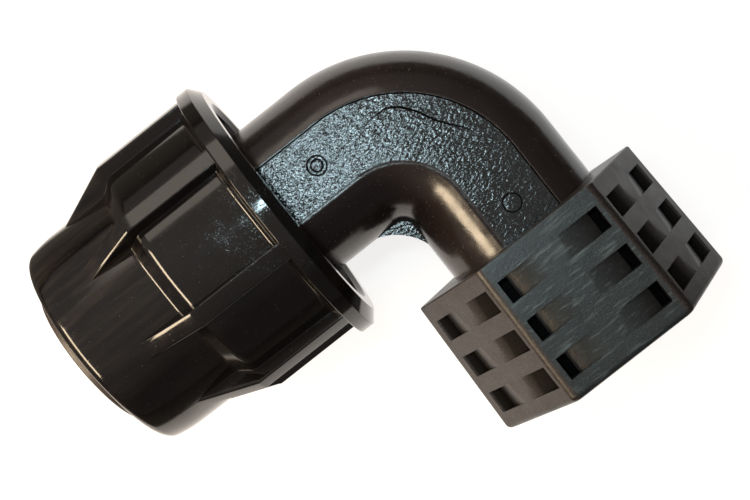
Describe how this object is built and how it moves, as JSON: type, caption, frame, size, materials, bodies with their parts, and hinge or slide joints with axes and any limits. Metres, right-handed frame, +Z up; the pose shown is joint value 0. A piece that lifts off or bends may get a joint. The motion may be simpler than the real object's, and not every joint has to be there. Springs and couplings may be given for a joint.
{
  "type": "female threaded elbow",
  "caption": "Black moulded compression elbow: ribbed nut and split grip ring for a pipe on one leg, hexagonal female threaded socket on the other.",
  "frame": {"origin": "middle of the bounding box, at the height of the nut flange's lowest point; the two bores' axes cross at x 0.0312, y 0.018625, z 0.03305", "axes": "-X along the compression nut's axis, outwards; -Y along the threaded socket's axis, outwards; +Z up, square to the elbow's plane, which lies flat"},
  "size_m": [0.1227, 0.1034, 0.0661],
  "materials": {
    "moulded_body": "black polypropylene, satin, with spark-eroded texture on the flat pads and on the two hexagon faces parallel to the elbow's plane",
    "moulded_nut": "black polypropylene, smooth and glossy",
    "moulded_ring": "dark brown-grey acetal, satin",
    "moulded_bush": "black polypropylene, satin",
    "seal_rubber": "black nitrile rubber, dull"
  },
  "bodies": {
    "fitting_body": {"elbow_body": "moulded_body", "thrust_bush": "moulded_bush", "o_ring_seal": "seal_rubber"},
    "ring_carrier": {"grip_ring": "moulded_ring"},
    "nut": {"compression_nut": "moulded_nut"}
  },
  "joints": [
    {"name": "nut_travel", "type": "slide", "parent": "fitting_body", "child": "ring_carrier", "axis": [-1, 0, 0], "range_m": [0, 0.0151]},
    {"name": "nut_turn", "type": "hinge", "parent": "ring_carrier", "child": "nut", "pos_m": [-0.0336, 0.01862, 0.03305], "axis": [-1, 0, 0], "range_deg": [0, 1080]}
  ],
  "couplings": [
    {"joint": "nut_travel", "follows": "nut_turn", "m_per_rad": 0.00079577}
  ]
}
